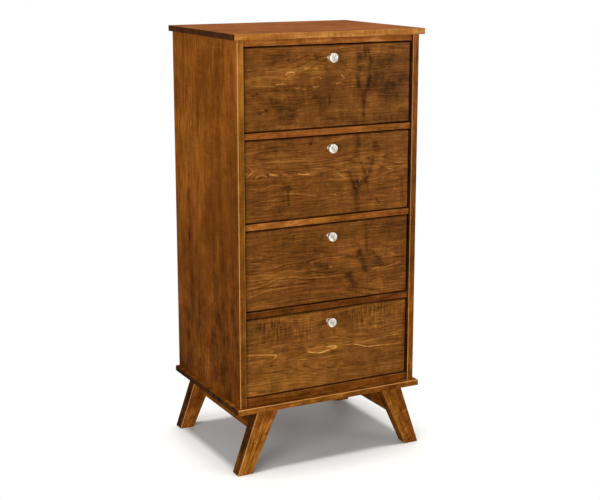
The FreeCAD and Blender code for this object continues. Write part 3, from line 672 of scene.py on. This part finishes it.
# Drawer fronts: marks are in millimetres from the middle of each front, along the grain and up
frontMarks = {
    "drawer_1_front": dict(
        seed=(2.8, 1.6, 6.9), tone=0.51, redness=0.58, weights={"line": 0.46, "blotch": 0.62},
        curl=[(115, 40, 40, 70, 0.09), (-60, -30, 150, 80, 0.07)],
        smears=[
            (-150, 88, 60, 18, -0.07), (-125, -76, 34, 28, -0.14), (-216, -63, 6, 5, -0.3),
            (-200, -56, 6, 5, -0.3), (-232, -13, 12, 5, -0.2), (-52, -18, 24, 14, -0.13),
            # painted shadow: the smear at (-14, 75) is the knob's shadow, left of and below it
            (22, 22, 16, 10, -0.13), (12, -95, 16, 8, -0.2, -15), (-14, 75, 13, 7, -0.24, 20),
            (196, 8, 62, 62, -0.18), (210, -25, 40, 20, -0.12), (200, 72, 56, 26, -0.11),
            (142, -48, 22, 34, 0.1), (-225, 20, 40, 40, 0.05), (97, 62, 11, 40, -0.13),
            (113, 88, 9, 22, -0.11), (131, 66, 8, 30, -0.11), (92, 8, 9, 24, -0.13),
            (126, 4, 11, 22, -0.18, -15), (112, -50, 9, 42, -0.13)],
        strokes=[
            (-0.15, 5.4, [(-130, 100), (-127, 85), (-125, 68)]),
            (-0.11, 9.3, [(-50, 95), (-40, 80), (-36, 70)]),
            (-0.12, 12.4, [(92, 106), (94, 88), (100, 66)]),
            (-0.11, 9.3, [(110, 101), (113, 88), (114, 76)]),
            (-0.17, 7, [(124, 102), (128, 84), (136, 58)]), (-0.15, 8.5, [(87, 32), (92, 10), (99, -12)]),
            (-0.18, 10.8, [(135, 28), (127, 7), (119, -11), (112, -36), (110, -65), (112, -96)]),
            (-0.11, 12.4, [(145, 46), (150, 30), (156, 12)]), (-0.12, 5.4, [(1, -18), (2, -35), (4, -50)]),
            (-0.14, 6.2, [(-182, -23), (-178, -38), (-171, -54)]),
            (-0.1, 6.2, [(-126, -20), (-122, -44)]), (-0.1, 5.4, [(-54, -18), (-52, -36)]),
            (-0.11, 7.8, [(144, -82), (146, -106)]), (-0.1, 6.2, [(40, -76), (46, -102)])],
        lines=[
            (0.18, 2.2, [(-241, 10), (-198, 9), (-166, 7)]),
            (0.32, 2.6, [(-166, 7), (-159, 12), (-134, 11)]),
            (0.32, 2.6, [(-138, 38), (-128, 42), (-119, 44), (-106, 39)]),
            (0.26, 2.4, [(-134, 36), (-122, 33), (-106, 38)]),
            (0.18, 2.2, [(-177, 55), (-142, 53), (-118, 51)]),
            (0.22, 2.2, [(-94, 55), (-62, 52), (-33, 50)]), (0.34, 2.8, [(-39, 31), (-32, 26), (-26, 21)]),
            (0.34, 3.2, [(-52, -1), (-41, 0), (-30, 4)]), (0.22, 2.4, [(-110, 2), (-97, -3)]),
            (0.26, 2.6, [(-82, -4), (-72, -6)]), (0.2, 2.6, [(22, 7), (50, 4)]),
            (0.32, 2.8, [(39, 30), (51, 19)]), (0.3, 3, [(96, 31), (110, 33)]),
            (0.22, 2.4, [(-50, -64), (-33, -67)]), (-0.12, 2.4, [(-262, -4), (-200, -6), (-150, -2)]),
            (-0.1, 2.2, [(-100, -88), (0, -92), (90, -86)])]),
    "drawer_2_front": dict(
        seed=(6.1, 4.7, 2.3), tone=0.49, redness=0.64,
        curl=[(120, 60, 70, 50, 0.08)],
        smears=[
            (95, 80, 12, 14, -0.14), (160, 80, 17, 30, -0.15), (-132, -27, 10, 6, -0.36),
            (-152, -97, 6, 5, -0.22), (-57, 100, 5, 8, -0.24), (-28, 8, 20, 6, -0.18),
            (-175, 86, 50, 12, -0.12), (74, -14, 22, 22, -0.11, 25), (128, -4, 18, 26, -0.15, -15),
            (98, -36, 20, 30, -0.12), (122, 2, 3, 5, 0.4), (105, -19, 5, 6, 0.22),
            (-30, -74, 80, 18, 0.06)],
        strokes=[
            (-0.19, 5.6, [(103, 33), (110, 17), (114, 6), (117, -6)]),
            (-0.17, 8, [(117, -2), (119, -16), (121, -30)]),
            (-0.13, 9, [(144, 48), (141, 21), (136, 6), (127, -12), (121, -24)]),
            (-0.12, 9.3, [(57, 13), (70, -4), (76, -22), (82, -36), (88, -50)]),
            (-0.17, 14, [(86, -38), (90, -72), (94, -113)]),
            (-0.13, 5.6, [(90, -16), (95, -30), (101, -44)]),
            (-0.1, 7.8, [(121, -28), (127, -45), (131, -62)]),
            (-0.1, 15.5, [(88, 113), (92, 80), (88, 42)]),
            (-0.15, 6.2, [(154, -74), (160, -84), (168, -96)]),
            (-0.11, 9.3, [(241, -18), (243, -55), (245, -98)]),
            (-0.15, 5.6, [(-131, -30), (-129, -50), (-127, -76)]), (-0.09, 6.2, [(-143, -42), (-141, -66)])],
        lines=[
            (0.3, 2.4, [(-258, 13), (-245, 23), (-234, 29)]),
            (0.24, 2.2, [(-252, 43), (-242, 37), (-234, 30)]),
            (0.3, 4, [(-229, 11), (-213, 17), (-193, 12)]),
            (0.34, 5, [(-187, 19), (-175, 16), (-159, 13)]), (0.18, 2, [(-198, 28), (-180, 20)]),
            (0.36, 3.4, [(-149, 14), (-140, 14), (-130, 12)]),
            (-0.14, 2, [(-156, 12), (-145, 18), (-127, 16), (-109, 12)]),
            (0.34, 3.4, [(-98, 13), (-84, 11), (-60, 8)]), (0.14, 2.4, [(-62, 10), (-20, 15), (30, 22)]),
            (0.22, 2.6, [(21, 10), (40, -3), (57, -16)]), (0.2, 2.4, [(28, 10), (45, 12), (60, 14)]),
            (0.28, 2.6, [(-2, -52), (25, -56)]),
            (0.2, 2.2, [(-252, -18), (-202, -20), (-177, -13), (-143, -17)]),
            (0.2, 2.2, [(-191, -43), (-155, -40), (-112, -42), (-62, -50), (-28, -56)]),
            (-0.12, 2.4, [(-191, -49), (-155, -46), (-112, -48), (-62, -56)]),
            (0.16, 2.2, [(0, -11), (23, -13), (42, -17)]), (0.22, 2.2, [(192, 7), (213, 1)]),
            (-0.13, 2.6, [(-225, 53), (-120, 41), (-20, 36), (70, 42)]),
            (-0.13, 2.6, [(-205, 32), (-100, 28), (0, 27), (80, 34)]),
            (0.12, 2.2, [(150, -30), (200, -38), (255, -36)]),
            (-0.12, 2.4, [(150, 22), (200, 14), (258, 18)])]),
    "drawer_3_front": dict(
        seed=(4.4, 8.2, 7.5), tone=0.485, redness=0.66,
        curl=[(110, 60, 60, 50, 0.07)],
        smears=[
            (62, -50, 10, 10, -0.1), (160, -18, 30, 14, -0.16, -10), (-25, -8, 42, 14, -0.13),
            # painted shadow: the smear at (-22, 72) is the knob's shadow, left of and below it
            (-64, -18, 14, 10, -0.13), (-22, 72, 14, 5, -0.16), (-113, 81, 6, 14, -0.1),
            (110, 12, 14, 22, -0.24, 12), (120, -18, 14, 20, -0.22, 18), (138, 4, 36, 30, -0.1),
            (74, -54, 14, 24, -0.1, 14), (86, -76, 15, 13, -0.09, 20), (-53, 0, 3, 5, 0.4),
            (-50, -15, 3, 5, 0.25), (7, -9, 6, 4, 0.3), (82, -17, 6, 5, 0.26), (200, 18, 6, 4, 0.3, 20),
            (180, -94, 60, 12, 0.1), (-15, -74, 30, 6, 0.1), (-225, -98, 36, 12, 0.11),
            (90, -45, 14, 14, 0.08)],
        strokes=[
            (-0.13, 12, [(101, 36), (107, 14), (113, -4), (119, -22), (127, -46)]),
            (-0.1, 6.2, [(96, 50), (102, 28)]), (-0.09, 12, [(67, -30), (72, -50), (80, -64), (91, -88)]),
            (-0.12, 7.8, [(122, 106), (124, 76), (125, 34), (131, 4)]),
            (-0.09, 5.4, [(130, -34), (128, -82)])],
        lines=[
            (0.2, 2.4, [(-260, -51), (-227, -45), (-190, -38), (-176, -31), (-148, -28), (-120, -28),
                        (-84, -34), (-30, -40), (72, -40)]), (-0.15, 3, [(-260, -57), (-227, -51),
                        (-190, -44), (-172, -37), (-148, -34), (-120, -34), (-84, -40), (-30, -46)]),
            (0.15, 2.2, [(-257, -71), (-227, -67), (-198, -60), (-155, -58), (-102, -57), (-60, -60)]),
            (-0.14, 2.4, [(-200, -55), (-155, -52), (-102, -51), (-60, -54)]),
            (-0.18, 2.8, [(-257, -8), (-220, -6), (-173, -1), (-144, 6), (-109, 10), (-76, 7)]),
            (0.16, 2.2, [(-173, 4), (-141, 11), (-105, 14)]),
            (0.14, 2.2, [(-209, -22), (-155, -12), (-108, -8)]),
            (-0.2, 2.8, [(-77, 1), (-48, 14), (-12, 18), (36, 16)]),
            (-0.2, 2.8, [(-77, -4), (-48, -21), (-12, -28), (36, -28)]),
            (0.14, 2.2, [(-66, 2), (-40, 9), (0, 12), (40, 12)]),
            (-0.11, 4.6, [(145, 17), (160, 4), (179, -17)]),
            (-0.1, 4, [(157, 21), (172, 4), (189, -15)]),
            (0.22, 3, [(143, -35), (166, -33), (187, -35), (212, -29), (252, -22)]),
            (0.2, 2.4, [(158, -42), (194, -41), (256, -36)]),
            (0.2, 2.2, [(142, 92), (176, 90), (213, 86)]), (0.26, 2.6, [(207, 6), (223, 0)]),
            (-0.14, 2.6, [(200, -12), (230, -8), (258, -14)]),
            (-0.12, 2.4, [(-240, 66), (-180, 52), (-120, 46), (-40, 50)]),
            (-0.12, 2.4, [(-250, 26), (-190, 30), (-110, 28), (-20, 34)])]),
    "drawer_4_front": dict(
        seed=(0.9, 6.6, 1.4), tone=0.545, redness=0.55,
        smears=[
            (-120, 8, 56, 10, -0.15, -3), (-182, -20, 14, 7, -0.12), (-110, -48, 90, 16, -0.07),
            # painted shadow: the smear at (-18, 75) is the knob's shadow, left of and below it
            (190, -60, 60, 28, -0.07), (20, -16, 28, 5, -0.18), (-18, 75, 12, 6, -0.18, 30),
            (215, -5, 40, 14, -0.09)],
        strokes=[
            (0.36, 2.8, [(-193, -17), (-180, -12), (-171, -6), (-168, -1), (-174, 4)]),
            (-0.08, 9.3, [(256, 100), (257, 0), (256, -100)])],
        chatter=[
            (-196, 80, 52, 46, 0.18), (-92, 62, 66, 36, 0.11), (136, 84, 92, 36, 0.17),
            (180, 46, 42, 9, 0.12)],
        lines=[
            (0.12, 7, [(-66, -3), (-40, -4), (-10, -4), (30, -3)]),
            (0.31, 2.6, [(-268, 12), (-241, 11), (-220, 8), (-198, 5), (-177, 2), (-166, -1)]),
            (0.36, 2.8, [(-74, -1), (-62, -6), (-41, -10), (-20, -12), (-6, -9), (19, -5), (35, -4)]),
            (0.32, 2.4, [(-74, -1), (-48, 3), (-20, 4), (2, 2), (23, 0), (35, -3)]),
            (-0.18, 2, [(-52, -3), (-34, -2), (-8, -5)]), (0.32, 2.6, [(58, -1), (73, -2), (94, -6),
                        (116, -12), (137, -17), (166, -19), (202, -21), (260, -23)]),
            (0.2, 2.2, [(92, -1), (123, 1), (148, 2), (184, 5), (240, 8)]),
            (0.18, 2.2, [(-150, -21), (-110, -22), (-67, -26)]), (0.14, 2.2, [(-134, 20), (-104, 15)]),
            (-0.13, 2.4, [(-74, -16), (-20, -19), (40, -13)]),
            (-0.12, 2.4, [(-160, 34), (-90, 28), (-10, 24), (60, 28)]),
            (0.1, 2, [(-26, -26), (36, -30), (74, -29)]), (-0.11, 2.4, [(60, 22), (130, 16), (240, 20)])]),
}
for node, marks in frontMarks.items():
    # rim is painted shade along the edges of each front, beside its gaps
    look = boardLook(node, right, front, wear=0.0, rim=-0.52, rimWidth=3.3, soakGrey=0.14, **marks)
    dressWood(node, look, finish="frontMaple")
print("drawer fronts dressed")

# Drawer boxes: clear maple sides with end grain at the dovetails, birch plywood bottoms
for number in range(1, 5):
    drawer = "drawer_%d_" % number
    for part, grain, facing in (("side_left", back, left), ("side_right", back, right),
                                ("box_front", right, front), ("box_back", right, back)):
        node, seed = drawer + part, (number * 2.3, number * 4.1 + len(part), 1.9)
        dressWood(node, boardLook(node, grain, facing, seed=seed, tone=0.55, wear=0.3), "clearMaple")
    seed = (number * 3.7, 0.8, number * 1.3)
    look = boardLook(drawer + "bottom", right, up, seed=seed, tone=0.55, wear=0.1)
    dressWood(drawer + "bottom", look, "birchPlywood")
print("drawer boxes dressed")

# Metals: the rolled or turned marks are drawn coarser than the real 0.05 mm, which is too fine to show.
# Relief and mark size are in millimetres, clouds and spangles are so many to a metre.
metals = {
    # Nickel plate over turned brass, brushed round its axis: bright and slightly warm, with soft highlights
    "brushedNickel": dict(
        light="#f4eee2", dark="#a19a8a", lightFrom=1.05, roughLow=0.36, roughHigh=0.5, bump=0.1,
        relief=0.1, anisotropy=0.7, markSize=(0.5, 0.5, 0.5), clouds=180.0),
    # Cold rolled steel with bright zinc plate: cool grey, faint cloudy spangle and lengthwise rolling marks
    "zincPlatedSteel": dict(
        light="#c9cdd1", dark="#9a9fa5", lightFrom=1.15, roughLow=0.68, roughHigh=0.8, bump=0.12,
        relief=0.2, anisotropy=0.0, markSize=(0.8, 60, 0.8), clouds=70.0, spangles=160.0),
    # Zinc plated screws: the same plate, yellower and rougher, darker in the recess
    "screwSteel": dict(
        light="#c4c1b4", dark="#8c897c", lightFrom=1.15, roughLow=0.3, roughHigh=0.5, bump=0.15,
        relief=0.2, anisotropy=0.0, markSize=(1.2, 1.2, 1.2), clouds=70.0, spangles=160.0),
}


def metalSurface(tree, finish, shade, dulled, marks, **moreLinks):
    # from dark to light metal by the shade, with a roughness pattern and the relief of the fine marks
    share = addNode(tree, "MapRange", {"From Min": 0.55, "From Max": finish["lightFrom"]}, {"Value": shade})
    ramp = addNode(tree, "ValToRGB", links={0: share})
    setStops(ramp, (finish["dark"], finish["light"]))
    bump = addNode(tree, "Bump", {"Strength": finish["bump"], "Distance": finish["relief"] * mm},
                   {"Height": marks})
    rough = patchyRoughness(tree, dulled, finish)
    shader = addNode(tree, "BsdfPrincipled", {"Metallic": 1.0, "Anisotropic": finish["anisotropy"]},
                     {"Base Color": ramp, "Roughness": rough, "Normal": bump, **moreLinks})
    addNode(tree, "OutputMaterial", links={"Surface": shader})


def plateMaterial(name, finish):
    # rolled, plated or tumbled metal
    material, tree = newMaterial(name)
    place = addNode(tree, "TexCoord").outputs["Object"]
    marks = sizedNoise(tree, place, finish["markSize"], 3, 0.6)
    cloud = addNode(tree, "TexNoise", {"Scale": finish["clouds"], "Detail": 3.0}, {"Vector": place})
    spangle = addNode(tree, "TexVoronoi", {"Scale": finish["spangles"]}, {"Vector": place}, feature="F1")
    shade = addNode(tree, "Math", {1: 0.5}, {0: marks, 2: cloud}, operation="MULTIPLY_ADD")
    shade = addNode(tree, "Math", {1: 0.25}, {0: spangle, 2: shade}, operation="MULTIPLY_ADD")
    metalSurface(tree, finish, shade, cloud, marks)
    return material


def turnedMaterial(name, finish, centre):
    # metal brushed in circles round the knob's axis
    material, tree = newMaterial(name)
    place = addNode(tree, "TexCoord").outputs["Object"]
    offset = addNode(tree, "VectorMath", {1: centre}, {0: place}, operation="SUBTRACT")
    flat = addNode(tree, "VectorMath", {1: (1, 0, 1)}, {0: offset}, operation="MULTIPLY")
    radius = addNode(tree, "VectorMath", links={0: flat}, operation="LENGTH")
    parts = addNode(tree, "SeparateXYZ", links={0: offset})
    circle = addNode(tree, "CombineXYZ", links={0: radius, 1: parts.outputs["Y"]})
    rings = sizedNoise(tree, circle, finish["markSize"], 3, 0.65)
    cloud = addNode(tree, "TexNoise", {"Scale": finish["clouds"], "Detail": 3.0}, {"Vector": offset})
    # painted reflection: the metal is darker towards the middle of the dish than at its rim
    paintedDishReflection = addNode(tree, "MapRange", {"From Min": 2.0 * mm, "From Max": 10.5 * mm, "To Min": -0.18,
                   "To Max": 0.1}, {"Value": radius}, **smooth)
    shade = addNode(tree, "Math", {1: 0.6}, {0: rings, 2: cloud}, operation="MULTIPLY_ADD")
    shade = addNode(tree, "Math", links={0: shade, 1: paintedDishReflection}, operation="ADD")
    # the gloss spreads across the brush marks: outwards on the face, lengthwise on the neck
    tangent = addNode(tree, "VectorMath", links={0: flat}, operation="NORMALIZE")
    tangent = addNode(tree, "VectorMath", {1: (0, -0.5, 0)}, {0: tangent}, operation="ADD")
    metalSurface(tree, finish, shade, rings, rings, Tangent=tangent)
    return material


def finishPiece(name, shape, material, body, sharpAngle=35, mergeWithin=0.005):
    # a bmesh becomes a finished piece that rides on a body
    bmesh.ops.remove_doubles(shape, verts=shape.verts[:], dist=mergeWithin * mm)
    bmesh.ops.recalc_face_normals(shape, faces=shape.faces[:])
    for face in shape.faces:
        face.smooth = True
    mesh = bpy.data.meshes.new(name)
    shape.to_mesh(mesh)
    shape.free()
    mesh.set_sharp_from_angle(angle=math.radians(sharpAngle))
    mesh.materials.append(material)
    piece = addObject(name, mesh)
    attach(piece, body)
    return piece


# Knobs, turned round the Y axis: a small foot, a neck that widens to the rim, a shallow dish in the face.
# Points are (radius, distance out of the drawer front) in millimetres.
knob = {
    "drop": 33.5,
    "hole": [(0, 10.1), (2.06, 10.1), (2.06, 0)],
    "foot": [(6.6, 0), (6.6, 1.2), (5.2, 2.2)],
    "neck": [(5.0, 4.0), (8.4, 9.5), (11.4, 15.0)],
    "rim": [(13.0, 21.0), (13.0, 27.0), (10.8, 27.0)],
    "dish": [(8.856, 26.285), (4.86, 25.83), (0, 25.7)],
    "roundedCorners": (4, 6, 7, 8, 9, 10, 11), "rounding": 0.7, "roundingSteps": 4, "steps": 72,
}


def knobShape(footPlace):
    # the corners of the foot, neck and rim are rounded before the profile is spun
    profile = knob["hole"] + knob["foot"] + knob["neck"] + knob["rim"] + knob["dish"]
    shape = bmesh.new()
    corners = [shape.verts.new(footPlace + Vector((radius * mm, -reach * mm, 0)))
               for radius, reach in profile]
    for start, end in zip(corners, corners[1:]):
        shape.edges.new((start, end))
    rounded = [corners[index] for index in knob["roundedCorners"]]
    bmesh.ops.bevel(shape, geom=rounded, offset=knob["rounding"] * mm, offset_type="OFFSET",
                    segments=knob["roundingSteps"], profile=0.5, affect="VERTICES", material=-1)
    bmesh.ops.spin(shape, geom=shape.verts[:] + shape.edges[:], cent=footPlace, axis=back, angle=math.tau,
                   steps=knob["steps"], use_merge=True, use_duplicate=False)
    return shape


for number in range(1, 5):
    low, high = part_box("drawer_%d_front" % number)
    footPlace = Vector((0, low.y, high.z - knob["drop"] * mm))
    material = turnedMaterial("brushedNickel.%d" % number, metals["brushedNickel"], footPlace)
    piece = finishPiece("knob_%d" % number, knobShape(footPlace), material, "drawer_%d" % number)
    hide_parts("drawer_%d_knob" % number)
print("knobs turned")

zinc = plateMaterial("zincPlatedSteel", metals["zincPlatedSteel"])
screwSteel = plateMaterial("screwSteel", metals["screwSteel"])
for node in nodes:
    if "slide" in node:
        dress(node, zinc)
    elif "screws" in node:
        dress(node, screwSteel)
print("slides and screws dressed")
